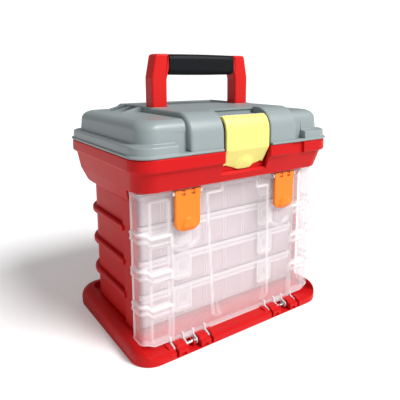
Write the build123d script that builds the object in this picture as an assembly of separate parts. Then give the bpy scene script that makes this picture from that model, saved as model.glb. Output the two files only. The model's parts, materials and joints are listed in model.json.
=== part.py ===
from build123d import *
import os

os.makedirs("parts", exist_ok=True)

# frame: millimetres, +Z up, -Y is the front, origin under the middle of the base

BASE_HALF = 135.0            # half width of the foot
BASE_DEPTH = 94.0            # half depth of the foot
BASE_R = 25.0
BASE_TOP = 22.0              # top of the sloping shoulder
SHOULDER = 12.5              # radius of that shoulder
SILL_TOP = 9.5               # low front step the cover stands over
FLOOR = 16.0                 # cabinet floor

WALL_HALF = 118.5            # cabinet, outside
WALL = 2.6
WALL_BACK = 80.0
WALL_FRONT = -57.5
WALL_R = 38.0
WALL_TOP = 182.0
POST_HALF = 121.2            # thick front post of each side wall
POST_BACK = -31.0
BEAD_OUT = 4.8               # how far the hollow side beads stand out
BEAD_HALF = 3.9
GROOVE_IN = 2.8              # depth of the tray groove inside each bead
GROOVE_HALF = 1.8

TRAYS = 4
LEVEL_1 = 55.5               # height of the lowest tray's flange
PITCH = 39.0
TRAY_HALF = 113.0
TRAY_FRONT = -54.0
TRAY_BACK = 61.0
TRAY_DROP = 34.5             # tray bottom below its flange
TRAY_WALL = 1.6
FLANGE_HALF = 118.0
FLANGE_T = 0.9               # half thickness of the flange
TRAY_LID_T = 2.4
DIVIDERS = (-56.5, 0.0, 56.5)
DIVIDER_T = 1.4
CLIP_X = 62.0                # tray clips, each side of the middle
CLIP_HALF = 12.0

TUB_LOW_HALF = 127.5
TUB_HALF = 130.5
TUB_BAND = 204.0             # underside of the rim band
RIM_TOP = 217.0
RIM_HALF = 134.5
RIM_DEPTH = 97.5
TUB_R = 20.0
SKIRT_BOTTOM = 166.0
SKIRT_FRONT = -42.0

LID_BOTTOM = 217.3
LID_HALF = 135.0
LID_DEPTH = 98.0
LEDGE_HALF = 133.0
LEDGE_DEPTH = 96.0
LEDGE_TOP = 229.0
LEDGE_GAP = 88.0             # the ledge stops this far from the middle at the front
DOME_HALF = 124.5
DOME_DEPTH = 88.0
DOME_TOP = 252.0
BAND_HALF = 74.0             # raised middle band of the lid
BAND_DEPTH = 95.5
BAND_TOP = 258.5
BAND_R = 24.0
LID_WALL = 2.5
LID_AXIS = (99.0, 216.0)     # lid hinge, y and z
KNUCKLE_R = 4.5
LID_KNUCKLES = ((-55, -35), (-10, 10), (35, 55))
TUB_KNUCKLES = ((-34.6, -10.4), (10.4, 34.6))
LID_PIN_R = 2.0

LATCH_HALF = 30.0            # main latch
LATCH_POCKET = 33.0
LATCH_AXIS = (-82.3, 251.8)
LATCH_PIN_R = 1.3
TUB_POCKET = 34.5

ARM_IN = 50.0                # handle arms, inner and outer face
ARM_OUT = 69.5
ARM_FRONT = -10.0
ARM_BACK = 8.0
ARM_TOP = 318.0
HANDLE_AXIS = (-1.0, 250.0)
HANDLE_PIN_R = 3.0
GRIP_LOW = 298.0
SLOT_IN = 48.5
SLOT_OUT = 71.0
SLOT_FLOOR = 239.5
POCKET_BACK = 73.0
POCKET_GRIP = 43.0

COVER_HALF = 123.75
COVER_FRONT = -77.5
COVER_BACK = -58.0
COVER_T = 2.2
COVER_TOP = 180.0
COVER_LOW = 10.0
COVER_SIDE_LOW = 17.0
COVER_AXIS = (-83.0, 5.5)
COVER_PIN_R = 1.8
HINGE_X = 68.0               # middle of each cover hinge
CLASP_X = 69.5               # orange cover latches
CLASP_HALF = 15.5
CLASP_AXIS = (-80.4, 176.4)
CLASP_PIN_R = 1.1
KEEPER_DX = 6.0              # keeper lugs of the tub, each side of a clasp's middle
KEEPER_HALF = 2.0
RUN = 0.08                   # running fit, added to a radius


def level(k):
    return LEVEL_1 + PITCH * k


def plan(half, front, back, r_front, r_back):
    """A rectangle seen from above, with its own corner radius front and back."""
    face = Pos(0, (front + back) / 2) * Rectangle(2 * half, back - front)
    if r_front:
        face = fillet(face.vertices().sort_by(Axis.Y)[:2], r_front)
    if r_back:
        face = fillet(face.vertices().sort_by(Axis.Y)[-2:], r_back)
    return face


def slab(face, low, high):
    return extrude(Pos(0, 0, low) * face, amount=high - low)


def block(x0, x1, y0, y1, z0, z1):
    return Pos((x0 + x1) / 2, (y0 + y1) / 2, (z0 + z1) / 2) * Box(x1 - x0, y1 - y0, z1 - z0)


def rod(x0, x1, axis, r):
    """A round bar along X, centred on axis (y, z)."""
    bar = Rot(0, 90, 0) * Cylinder(r, x1 - x0)
    return Pos((x0 + x1) / 2, axis[0], axis[1]) * bar


def side_prism(points, x0, x1):
    """A shape drawn in (y, z) and drawn out along X."""
    outline = Plane.YZ * make_face(Polyline(*points, close=True))
    return Pos(x0, 0, 0) * extrude(outline, amount=x1 - x0)


def band_core(half, off):
    """The lid's middle band, shrunk by off all round."""
    high = BAND_TOP - off
    face = Pos(0, (150 + high) / 2) * Rectangle(2 * (BAND_DEPTH - off), high - 150)
    face = fillet(face.vertices().sort_by(Axis.Y)[-2:], BAND_R - off)
    body = extrude(Plane.YZ * face, amount=half, both=True)
    return body & block(-200, 200, -200, 200, 190, 300)


def base_plinth():
    body = slab(plan(BASE_HALF, -BASE_DEPTH, BASE_DEPTH, BASE_R, BASE_R), 0, BASE_TOP)
    body = fillet(body.edges().group_by(Axis.Z)[-1], SHOULDER)
    body -= slab(plan(131.5, -90.5, 90.5, 21.5, 21.5), -1, 6.0)
    body -= slab(plan(129.0, -52.0, 87.0, 4.0, 19.0), 5, 13.0)
    for x in (-65, 0, 65):
        body += block(x - 1.5, x + 1.5, -91, 91, 0, 7)
        body += block(x - 1.5, x + 1.5, -53, 88, 6, 14)
    for side in (-1, 1):
        c = side * HINGE_X
        body += block(c - 27, c + 27, -91, -73, 0, 7)
    body -= block(-126, 126, -100, WALL_FRONT + 0.2, SILL_TOP, 40)
    body -= slab(plan(POST_HALF + 0.3, -70, POST_BACK + 0.2, 0, 0), FLOOR, 40)
    body -= slab(plan(WALL_HALF + 0.2, -60, WALL_BACK + 0.2, 0, WALL_R + 0.2), FLOOR, 40)
    for side in (-1, 1):
        c = side * HINGE_X
        for fin in (-22.5, 22.5):
            body -= block(c + fin - 1.4, c + fin + 1.4, -96, -74.5, 1.2, 12)
        body -= block(c - 8.1, c + 8.1, -96, -74.5, 1.2, 12)
        body -= rod(c - 24.5, c + 24.5, COVER_AXIS, COVER_PIN_R)
    return body


def cabinet_shell():
    body = slab(plan(WALL_HALF, WALL_FRONT, WALL_BACK, 0, WALL_R), FLOOR, WALL_TOP)
    for side in (-1, 1):
        x0, x1 = sorted((side * 112, side * POST_HALF))
        post = block(x0, x1, WALL_FRONT, POST_BACK, FLOOR, WALL_TOP)
        outer = post.edges().filter_by(Axis.Z).sort_by(Axis.X)
        outer = outer[-2:] if side > 0 else outer[:2]
        body += fillet(outer, 2.4)
    for k in range(TRAYS):
        ring = plan(WALL_HALF + BEAD_OUT, POST_BACK - 4, WALL_BACK + BEAD_OUT, 0, WALL_R + BEAD_OUT)
        bead = slab(ring, level(k) - BEAD_HALF, level(k) + BEAD_HALF)
        rims = bead.edges().group_by(Axis.Z)
        bead = fillet(list(rims[0]) + list(rims[-1]), 2.9)
        body += bead
    half = WALL_HALF - WALL
    body -= slab(plan(half, -90, WALL_BACK - WALL, 0, WALL_R - WALL), 0, 200)
    for k in range(TRAYS):
        ring = plan(half + GROOVE_IN, -90, WALL_BACK - WALL + GROOVE_IN, 0, WALL_R - WALL + GROOVE_IN)
        body -= slab(ring, level(k) - GROOVE_HALF, level(k) + GROOVE_HALF)
    return body


def top_tub():
    low = Pos(0, 0, WALL_TOP) * plan(TUB_LOW_HALF, -86, 89, TUB_R, TUB_R)
    high = Pos(0, 0, TUB_BAND) * plan(TUB_HALF, -93.5, 93.5, TUB_R, TUB_R)
    body = loft([low, high])
    body += slab(plan(RIM_HALF, -RIM_DEPTH, RIM_DEPTH, TUB_R + 3, TUB_R + 3), TUB_BAND, RIM_TOP)
    inner_low = Pos(0, 0, WALL_TOP + 3) * plan(124.0, -82.5, 85.5, 17, 17)
    inner_high = Pos(0, 0, RIM_TOP + 1) * plan(128.0, -90.5, 90.5, 17, 17)
    body -= loft([inner_low, inner_high])
    skirt = slab(plan(127.0, SKIRT_FRONT, 88.4, 0, 46.4), SKIRT_BOTTOM, WALL_TOP)
    skirt = fillet(skirt.edges().group_by(Axis.Z)[0].sort_by(Axis.Y)[1:], 2.0)
    skirt -= slab(plan(123.7, -90, 85.2, 0, 43.2), 100, WALL_TOP)
    body += skirt
    body += block(-38, 38, -92, -79.5, WALL_TOP, RIM_TOP)
    body -= block(-TUB_POCKET, TUB_POCKET, -110, -84.5, 190, 230)
    body += block(-10, 10, -86.6, -84.5, 194, 197)
    for side in (-1, 1):
        for dx in (-KEEPER_DX, KEEPER_DX):
            c = side * CLASP_X + dx
            body += block(c - KEEPER_HALF, c + KEEPER_HALF, -84.5, -79.6, 180.9, WALL_TOP + 2)
    for x0, x1 in LID_KNUCKLES:
        body -= block(x0 - 0.5, x1 + 0.5, 93.9, 120, 210.9, 230)
    for x0, x1 in TUB_KNUCKLES:
        body += rod(x0, x1, LID_AXIS, KNUCKLE_R)
        body += block(x0, x1, 93, 99, 207, LID_AXIS[1])
    body -= rod(-60, 60, LID_AXIS, LID_PIN_R)
    return body


def lid_shell():
    flange = slab(plan(LID_HALF, -LID_DEPTH, LID_DEPTH, 21, 21), LID_BOTTOM, 219.6)
    ledge = slab(plan(LEDGE_HALF, -LEDGE_DEPTH, LEDGE_DEPTH, 20, 20), 219.6, LEDGE_TOP)
    ledge = fillet(ledge.edges().group_by(Axis.Z)[-1], 2.0)
    ledge -= block(-LEDGE_GAP, LEDGE_GAP, -110, -60, 200, 240)
    dome = slab(plan(DOME_HALF, -DOME_DEPTH, DOME_DEPTH, 22, 22), 219.0, DOME_TOP)
    dome = fillet(dome.edges().group_by(Axis.Z)[-1], 9)
    band = band_core(BAND_HALF, 0) & block(-200, 200, -200, 200, 219.0, 300)
    body = flange + ledge + dome + band
    hollow = slab(plan(DOME_HALF - LID_WALL, -85.5, 85.5, 19.5, 19.5), 200, DOME_TOP - LID_WALL)
    hollow = fillet(hollow.edges().group_by(Axis.Z)[-1], 6.5)
    hollow += band_core(BAND_HALF - LID_WALL, LID_WALL)
    body -= hollow
    # recess the folded handle lies in, as a tray let into the band
    wells = (
        (-SLOT_OUT, -SLOT_IN, -12.0, POCKET_BACK),
        (SLOT_IN, SLOT_OUT, -12.0, POCKET_BACK),
        (-SLOT_OUT, SLOT_OUT, POCKET_GRIP, POCKET_BACK),
    )
    for x0, x1, y0, y1 in wells:
        t = LID_WALL
        body += block(x0 - t, x1 + t, y0 - t, y1 + t, SLOT_FLOOR - t, 256.5)
    for x0, x1, y0, y1 in wells:
        body -= block(x0, x1, y0, y1, SLOT_FLOOR, 270)
    # recess the main latch lies in
    body += band_core(LATCH_POCKET + 2.5, 0.5) & block(-90, 90, -95.2, -58, 219, 256) - band_core(60, 9.5)
    body -= block(-LATCH_POCKET, LATCH_POCKET, -110, -62, 200, 270) - band_core(60, 7.2)
    for side in (-1, 1):
        x0, x1 = sorted((side * 45.8, side * 73.8))
        body -= rod(x0, x1, HANDLE_AXIS, HANDLE_PIN_R)
    body -= rod(-35.2, 35.2, LATCH_AXIS, LATCH_PIN_R)
    for x0, x1 in TUB_KNUCKLES:
        body -= block(x0 - 0.5, x1 + 0.5, 93.9, 120, 200, 221.5)
    for x0, x1 in LID_KNUCKLES:
        body += rod(x0, x1, LID_AXIS, KNUCKLE_R)
        body += block(x0, x1, 95.0, 99.0, LID_BOTTOM, 220.5)
    body -= rod(-60, 60, LID_AXIS, LID_PIN_R + RUN)
    return body


def main_latch():
    plate = band_core(LATCH_HALF, -1.2) - band_core(60, 2.2)
    plate = plate & block(-40, 40, -120, -84.2, 217, 300)
    nose = [(-96.7, 219), (-96.7, 215.5), (-88.6, 203), (-86.6, 203), (-86.6, 205), (-93.3, 217), (-93.3, 219)]
    plate += side_prism(nose, -LATCH_HALF, LATCH_HALF)
    plate += rod(-LATCH_HALF, LATCH_HALF, LATCH_AXIS, 2.6)
    for x in (-15, 15):
        plate += block(x - 1, x + 1, -94, -90.2, 216, 232)
    plate -= rod(-40, 40, LATCH_AXIS, LATCH_PIN_R + RUN)
    return plate


def handle_arm(side):
    pts = [(ARM_IN, 241), (ARM_OUT, 241), (ARM_OUT, 294), (ARM_OUT - 6, ARM_TOP), (ARM_IN - 3, ARM_TOP),
           (ARM_IN - 3, 303), (ARM_IN, 296)]
    outline = make_face(Polyline(*pts, close=True))
    arm = Pos(0, ARM_BACK, 0) * extrude(Plane.XZ * outline, amount=ARM_BACK - ARM_FRONT)
    foot = rod(ARM_IN - 1, ARM_OUT + 1, HANDLE_AXIS, 9.0) + block(40, 80, -30, 30, 250, 330)
    arm = arm & foot
    arm -= block(0, 57, -6, 4, 303, 313)
    arm -= rod(40, 80, HANDLE_AXIS, HANDLE_PIN_R + RUN)
    return arm if side > 0 else mirror(arm, about=Plane.YZ)


def handle_grip():
    mid = (GRIP_LOW + ARM_TOP) / 2
    face = Pos(-1, mid) * RectangleRounded(18, ARM_TOP - GRIP_LOW, 6)
    body = extrude(Plane.YZ * face, amount=ARM_IN - 3, both=True)
    return body - block(-60, 60, -6, 4, 303, 313)


def front_cover():
    body = slab(plan(COVER_HALF, COVER_FRONT, COVER_BACK, 6, 0), COVER_SIDE_LOW, COVER_TOP)
    body -= slab(plan(COVER_HALF - COVER_T, COVER_FRONT + COVER_T, -40, 3.8, 0), 0, COVER_TOP - COVER_T)
    body += block(-117, 117, COVER_FRONT, COVER_FRONT + COVER_T, COVER_LOW, COVER_SIDE_LOW + 1)
    body += block(-38, 38, COVER_FRONT - 1.2, COVER_FRONT + 1, 24, 164)
    for side in (-1, 1):
        x0, x1 = sorted((side * 90, side * 116))
        for k in range(3):
            z = level(k) + 3.0
            bead = block(x0, x1, COVER_FRONT - 1.6, COVER_FRONT + 1, z - 3.2, z + 3.2)
            body += bead
        c = side * CLASP_X
        body -= block(c - 17, c + 17, COVER_FRONT - 1, COVER_FRONT + 0.9, 112, 134)
        for s in (-1, 1):
            x0, x1 = sorted((c + s * 15.9, c + s * 18.4))
            body += block(x0, x1, -82.6, COVER_FRONT, 173.9, 178.9)
            keeper = c + s * KEEPER_DX
            body -= block(keeper - 3.2, keeper + 3.2, -71, -50, 175, 185)
        body -= rod(c - 18.4, c + 18.4, CLASP_AXIS, CLASP_PIN_R)
        c = side * HINGE_X
        y, z = COVER_AXIS
        web = [(y, z - 3.7), (y + 3, z), (-75.3, 9.5), (-75.3, 13), (COVER_FRONT, 13), (y - 2.5, z + 2.5)]
        for x0, x1 in ((-23.5, -21.5), (-7.5, 7.5), (21.5, 23.5)):
            body += side_prism(web, c + x0, c + x1)
            body += rod(c + x0, c + x1, COVER_AXIS, 3.7)
        body -= rod(c - 26, c + 26, COVER_AXIS, COVER_PIN_R + RUN)
    return body


def cover_latch(side):
    c = side * CLASP_X
    z = CLASP_AXIS[1]
    top = 179.4
    pts = [(-CLASP_HALF, 141), (-9, 135), (9, 135), (CLASP_HALF, 141), (CLASP_HALF, top), (-CLASP_HALF, top)]
    outline = make_face(Polyline(*pts, close=True))
    body = Pos(0, -80.6, 0) * extrude(Plane.XZ * outline, amount=2.6)
    for dx in (-KEEPER_DX, KEEPER_DX):
        body -= block(dx - 2.6, dx + 2.6, -90, -70, 177.0, 182)
    dome = side_prism([(-83.2, 139), (-84.4, 141.5), (-84.4, 146), (-83.2, 152)], -7, 7)
    body += dome
    body += rod(-CLASP_HALF, CLASP_HALF, CLASP_AXIS, 2.2)
    body += side_prism([(-80.8, 150), (-78.2, 149), (-78.2, 147), (-80.8, 144)], -10, 10)
    body = Pos(c, 0, 0) * body
    return body - rod(c - 20, c + 20, CLASP_AXIS, CLASP_PIN_R + RUN)


def tray_box(k):
    z = level(k)
    low = z - TRAY_DROP
    body = slab(plan(TRAY_HALF, TRAY_FRONT, TRAY_BACK, 6, 12), low, z + FLANGE_T)
    rim = plan(FLANGE_HALF, TRAY_FRONT - 1.2, TRAY_BACK + 3, 4, 20)
    body += slab(rim, z - FLANGE_T, z + FLANGE_T)
    body -= slab(plan(TRAY_HALF - TRAY_WALL, TRAY_FRONT + TRAY_WALL, TRAY_BACK - TRAY_WALL, 4.4, 10.4),
                 low + TRAY_WALL, z + 5)
    return body


def tray_dividers(k):
    z = level(k)
    low = z - TRAY_DROP + TRAY_WALL
    body = None
    for x in DIVIDERS:
        wall = block(x - DIVIDER_T / 2, x + DIVIDER_T / 2, TRAY_FRONT + TRAY_WALL,
                     TRAY_BACK - TRAY_WALL, low, z - 1.0)
        body = wall if body is None else body + wall
    return body


def tray_lid(k):
    z = level(k) + FLANGE_T
    body = slab(plan(114.6, TRAY_FRONT - 1.6, TRAY_BACK + 0.6, 5, 14), z, z + TRAY_LID_T)
    body -= slab(plan(110.0, TRAY_FRONT + 3, TRAY_BACK - 4, 3, 10), z + 1.4, z + 5)
    for side in (-1, 1):
        c = side * CLIP_X
        body -= block(c - 4, c + 4, TRAY_FRONT - 3, TRAY_FRONT, z - 1, z + 5)
        body += rod(c - CLIP_HALF, c - 4, (TRAY_FRONT - 2.2, z + 0.9), 1.3)
        body += rod(c + 4, c + CLIP_HALF, (TRAY_FRONT - 2.2, z + 0.9), 1.3)
    return body


def tray_clip(k, side):
    c = side * CLIP_X
    z = level(k)
    front = TRAY_FRONT - 5.0
    body = block(c - CLIP_HALF, c + CLIP_HALF, front, front + 1.4, z - 26, z + 3.2)
    body += block(c - 3.6, c + 3.6, front + 1, TRAY_FRONT - 1.8, z + 1.2, z + 3.0)
    body += block(c - 8, c + 8, front + 1, TRAY_FRONT - 1.2, z - 6.5, z - 5.0)
    return body


def main():
    nodes = {
        "base_plinth": base_plinth(),
        "cabinet_shell": cabinet_shell(),
        "top_tub": top_tub(),
        "lid_shell": lid_shell(),
        "lid_hinge_pin": rod(-56, 56, LID_AXIS, LID_PIN_R),
        "main_latch": main_latch(),
        "main_latch_pin": rod(-35.2, 35.2, LATCH_AXIS, LATCH_PIN_R),
        "handle_arm_left": handle_arm(-1),
        "handle_arm_right": handle_arm(1),
        "handle_crossbar": block(-57, 57, -6, 4, 303, 313),
        "handle_grip": handle_grip(),
        "handle_pivot_pin_left": rod(-73.4, -46.2, HANDLE_AXIS, HANDLE_PIN_R),
        "handle_pivot_pin_right": rod(46.2, 73.4, HANDLE_AXIS, HANDLE_PIN_R),
        "front_cover": front_cover(),
    }
    for side, name in ((-1, "left"), (1, "right")):
        c = side * HINGE_X
        nodes[f"cover_hinge_pin_{name}"] = rod(c - 24.5, c + 24.5, COVER_AXIS, COVER_PIN_R)
        c = side * CLASP_X
        nodes[f"cover_latch_{name}"] = cover_latch(side)
        nodes[f"cover_latch_pin_{name}"] = rod(c - 18.4, c + 18.4, CLASP_AXIS, CLASP_PIN_R)
    for k in range(TRAYS):
        n = k + 1
        nodes[f"tray{n}_box"] = tray_box(k)
        nodes[f"tray{n}_lid"] = tray_lid(k)
        nodes[f"tray{n}_dividers"] = tray_dividers(k)
        nodes[f"tray{n}_clip_left"] = tray_clip(k, -1)
        nodes[f"tray{n}_clip_right"] = tray_clip(k, 1)
    for name, shape in nodes.items():
        export_step(shape, f"parts/{name}.step")


main()
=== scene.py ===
import json
import math
import bpy
import bmesh
from mathutils import Matrix, Vector


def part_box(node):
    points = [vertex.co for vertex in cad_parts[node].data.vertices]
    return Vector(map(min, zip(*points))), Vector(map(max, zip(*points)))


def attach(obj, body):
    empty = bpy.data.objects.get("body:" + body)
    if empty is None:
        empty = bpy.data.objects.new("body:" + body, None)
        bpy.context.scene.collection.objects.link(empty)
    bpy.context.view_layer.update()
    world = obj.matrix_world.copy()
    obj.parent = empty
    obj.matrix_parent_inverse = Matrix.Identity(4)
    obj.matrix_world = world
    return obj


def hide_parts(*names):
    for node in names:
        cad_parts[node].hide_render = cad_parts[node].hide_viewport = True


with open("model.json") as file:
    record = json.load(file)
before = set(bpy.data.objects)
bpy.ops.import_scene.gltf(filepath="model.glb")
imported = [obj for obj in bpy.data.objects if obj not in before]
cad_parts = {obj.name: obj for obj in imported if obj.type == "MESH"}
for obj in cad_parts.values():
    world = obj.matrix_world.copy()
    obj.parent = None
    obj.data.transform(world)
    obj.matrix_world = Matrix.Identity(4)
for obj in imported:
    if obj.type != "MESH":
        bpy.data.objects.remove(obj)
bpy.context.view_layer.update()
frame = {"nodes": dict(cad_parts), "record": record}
scene = bpy.context.scene
scene.view_settings.view_transform = "Standard"
scene.view_settings.look = "None"
scene.cycles.transparent_max_bounces = 64

MM = 0.001


# ---------------- materials

def socket(node, name, value):
    """Sets one input of a shader node."""
    node.inputs[name].default_value = value


def new_group(name, inputs, outputs):
    """An empty shader node group with its sockets, and its input and output nodes."""
    group = bpy.data.node_groups.new(name, "ShaderNodeTree")
    for label, kind, value in inputs:
        made = group.interface.new_socket(label, in_out="INPUT", socket_type="NodeSocket" + kind)
        made.default_value = value
    for label, kind in outputs:
        group.interface.new_socket(label, in_out="OUTPUT", socket_type="NodeSocket" + kind)
    return group, group.nodes.new("NodeGroupInput"), group.nodes.new("NodeGroupOutput")


def math_node(group, operation, first, second):
    """A Math node fed by sockets or plain numbers; gives its result socket."""
    node = group.nodes.new("ShaderNodeMath")
    node.operation = operation
    for slot_number, value in enumerate((first, second)):
        if isinstance(value, (int, float)):
            node.inputs[slot_number].default_value = value
        else:
            group.links.new(value, node.inputs[slot_number])
    return node.outputs[0]


def noise(group, where, scale, detail):
    """A noise texture on the given coordinates, centred on zero."""
    node = group.nodes.new("ShaderNodeTexNoise")
    socket(node, "Detail", detail)
    group.links.new(where, node.inputs["Vector"])
    if isinstance(scale, (int, float)):
        socket(node, "Scale", scale)
    else:
        group.links.new(scale, node.inputs["Scale"])
    return math_node(group, "SUBTRACT", node.outputs["Fac"], 0.5)


def moulded_skin():
    """Moulded plastic: colour drift, fine scuffs, a spark-eroded grain and the roughness that follows."""
    group, into, out = new_group(
        "moulded_skin",
        (("Colour", "Color", (0.5, 0.5, 0.5, 1)), ("Drift", "Float", 0.05), ("Grain size", "Float", 900.0),
         ("Grain depth", "Float", 0.15), ("Roughness", "Float", 0.4), ("Scuffs", "Float", 0.3)),
        (("Colour", "Color"), ("Roughness", "Float"), ("Normal", "Vector")))
    link = group.links.new
    where = group.nodes.new("ShaderNodeTexCoord").outputs["Object"]
    cloud = noise(group, where, 18.0, 3.0)
    stretched = group.nodes.new("ShaderNodeMapping")
    socket(stretched, "Scale", (1.0, 0.25, 2.6))
    socket(stretched, "Rotation", (0.3, 0.5, 0.7))
    link(where, stretched.inputs["Vector"])
    streaks = noise(group, stretched.outputs[0], 130.0, 5.0)
    peaks = math_node(group, "MAXIMUM", math_node(group, "SUBTRACT", streaks, 0.13), 0.0)
    scuff = math_node(group, "MULTIPLY", peaks, 4.0)
    scuff = math_node(group, "MULTIPLY", scuff, into.outputs["Scuffs"])
    amount = math_node(group, "MULTIPLY", cloud, into.outputs["Drift"])
    pale = math_node(group, "MULTIPLY", scuff, 0.25)
    lift = math_node(group, "ADD", math_node(group, "ADD", amount, pale), 1.0)
    tint = group.nodes.new("ShaderNodeVectorMath")
    tint.operation = "SCALE"
    link(into.outputs["Colour"], tint.inputs[0])
    link(lift, tint.inputs["Scale"])
    link(tint.outputs[0], out.inputs["Colour"])
    fine = noise(group, where, into.outputs["Grain size"], 2.0)
    bump = group.nodes.new("ShaderNodeBump")
    socket(bump, "Distance", 0.0004)
    link(into.outputs["Grain depth"], bump.inputs["Strength"])
    link(math_node(group, "ADD", fine, math_node(group, "MULTIPLY", scuff, -0.5)), bump.inputs["Height"])
    link(bump.outputs["Normal"], out.inputs["Normal"])
    rough = math_node(group, "ADD", into.outputs["Roughness"], math_node(group, "MULTIPLY", cloud, 0.18))
    link(math_node(group, "ADD", rough, math_node(group, "MULTIPLY", scuff, 0.3)), out.inputs["Roughness"])
    return group


def clear_edge():
    """Clear plastic with a painted highlight: whiter and more opaque along its creases and rims, where the
    wall is turned, and clear between.
    """
    group, into, out = new_group(
        "clear_edge",
        (("Body", "Color", (0.9, 0.9, 0.9, 1)), ("Edge", "Color", (1, 1, 1, 1)),
         ("Clear alpha", "Float", 0.3), ("Edge alpha", "Float", 0.8), ("Haze", "Float", 0.05)),
        (("Colour", "Color"), ("Alpha", "Float")))
    link = group.links.new
    # Painted highlight: the attribute read here turns creases and rims whiter and more opaque.
    crease = group.nodes.new("ShaderNodeAttribute")
    crease.attribute_name = "crease"
    where = group.nodes.new("ShaderNodeTexCoord").outputs["Object"]
    haze = math_node(group, "MULTIPLY", noise(group, where, 40.0, 4.0), into.outputs["Haze"])
    highlight_mask = math_node(group, "MINIMUM", math_node(group, "MAXIMUM", crease.outputs["Fac"], 0.0), 1.0)
    colour = group.nodes.new("ShaderNodeMix")
    colour.data_type = "RGBA"
    link(highlight_mask, colour.inputs["Factor"])
    link(into.outputs["Body"], colour.inputs[6])
    link(into.outputs["Edge"], colour.inputs[7])
    link(colour.outputs[2], out.inputs["Colour"])
    span = math_node(group, "SUBTRACT", into.outputs["Edge alpha"], into.outputs["Clear alpha"])
    alpha = math_node(group, "ADD", into.outputs["Clear alpha"], math_node(group, "MULTIPLY", span, highlight_mask))
    link(math_node(group, "ADD", alpha, haze), out.inputs["Alpha"])
    return group


SKIN = moulded_skin()
CLEAR_PAINTED_HIGHLIGHT = clear_edge()


def moulded(name, colour, drift=0.1, grain=900.0, depth=0.15, rough=0.4, scuffs=0.3, spec=0.5, metal=0.0):
    """An opaque moulded plastic, rubber or steel."""
    mat = bpy.data.materials.new(name)
    mat.use_nodes = True
    tree = mat.node_tree
    shader = tree.nodes["Principled BSDF"]
    skin = tree.nodes.new("ShaderNodeGroup")
    skin.node_tree = SKIN
    for label, value in (("Colour", (*colour, 1.0)), ("Drift", drift), ("Grain size", grain),
                         ("Grain depth", depth), ("Roughness", rough), ("Scuffs", scuffs)):
        socket(skin, label, value)
    tree.links.new(skin.outputs["Colour"], shader.inputs["Base Color"])
    tree.links.new(skin.outputs["Roughness"], shader.inputs["Roughness"])
    tree.links.new(skin.outputs["Normal"], shader.inputs["Normal"])
    socket(shader, "Specular IOR Level", spec)
    socket(shader, "Metallic", metal)
    mat.diffuse_color = (*colour, 1.0)
    return mat


def clear(name, body, edge, low, high, rough=0.14, haze=0.05):
    """A see-through moulded plastic: edge is the colour of its painted highlight, low is its alpha on flat
    walls, high on its creases.
    """
    mat = moulded(name, body, drift=0.03, grain=600.0, depth=0.04, rough=rough, scuffs=0.25)
    tree = mat.node_tree
    shader = tree.nodes["Principled BSDF"]
    mixer = tree.nodes.new("ShaderNodeGroup")
    mixer.node_tree = CLEAR_PAINTED_HIGHLIGHT
    for label, value in (("Body", (*body, 1.0)), ("Edge", (*edge, 1.0)), ("Clear alpha", low),
                         ("Edge alpha", high), ("Haze", haze)):
        socket(mixer, label, value)
    tree.links.new(mixer.outputs["Colour"], shader.inputs["Base Color"])
    tree.links.new(mixer.outputs["Alpha"], shader.inputs["Alpha"])
    mat.diffuse_color = (*body, low)
    return mat


RED = moulded("red_plastic", (0.60, 0.008, 0.009),
              drift=0.12, grain=1500.0, depth=0.12, rough=0.38, scuffs=0.3, spec=0.14)
RED_HANDLE = moulded("red_handle_plastic", (0.72, 0.014, 0.012),
                     drift=0.08, grain=1400.0, depth=0.08, rough=0.34, scuffs=0.3, spec=0.25)
GREY = moulded("grey_lid_plastic", (0.305, 0.355, 0.36), drift=0.10, grain=1100.0, depth=0.30, rough=0.40)
YELLOW = moulded("yellow_latch_plastic", (0.90, 0.81, 0.22),
                 drift=0.05, grain=1500.0, depth=0.06, rough=0.35, scuffs=0.15)
ORANGE = moulded("orange_latch_plastic", (0.93, 0.235, 0.018),
                 drift=0.08, grain=1500.0, depth=0.06, rough=0.32, scuffs=0.2, spec=0.3)
BLACK = moulded("black_grip_rubber", (0.004, 0.005, 0.007),
                drift=0.10, grain=1300.0, depth=0.35, rough=0.5, scuffs=0.3, spec=0.2)
STEEL = moulded("pin_steel", (0.55, 0.55, 0.56),
                drift=0.04, grain=2500.0, depth=0.10, rough=0.28, scuffs=0.5, spec=0.5, metal=1.0)
# The second colour of each clear plastic is its painted highlight along creases and rims.
CLEAR = clear("clear_cover_plastic", (0.96, 0.90, 0.93), (1.0, 0.98, 0.99), low=0.22, high=0.6)
# The pink in the tray plastic's body colour is painted light: the red cabinet's glow seen through the clear
# trays.
TRAY = clear("clear_tray_plastic", (1.0, 0.84, 0.89), (1.0, 0.96, 0.98), low=0.38, high=0.85)
MILKY = clear("milky_clip_plastic", (0.95, 0.93, 0.94), (1.0, 0.99, 0.99), low=0.42, high=0.75, rough=0.3)

FINISH = {
    "red_body": RED, "red_handle": RED_HANDLE, "grey_lid": GREY, "yellow_latch": YELLOW,
    "orange_latch": ORANGE, "black_grip": BLACK, "steel_pin": STEEL, "clear_cover": CLEAR, "clear_tray": TRAY,
}
SLOT_OF = {part["node"]: part["material_slot"] for part in frame["record"]["subparts"]}
BODY_OF = {node: body for body, nodes in frame["record"]["behaviour"]["bodies"].items() for node in nodes}
for node_name, slot_name in SLOT_OF.items():
    node_mesh = frame["nodes"][node_name].data
    node_mesh.materials.clear()
    node_mesh.materials.append(MILKY if "_clip_" in node_name else FINISH[slot_name])


# ---------------- shape helpers (millimetres)

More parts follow.
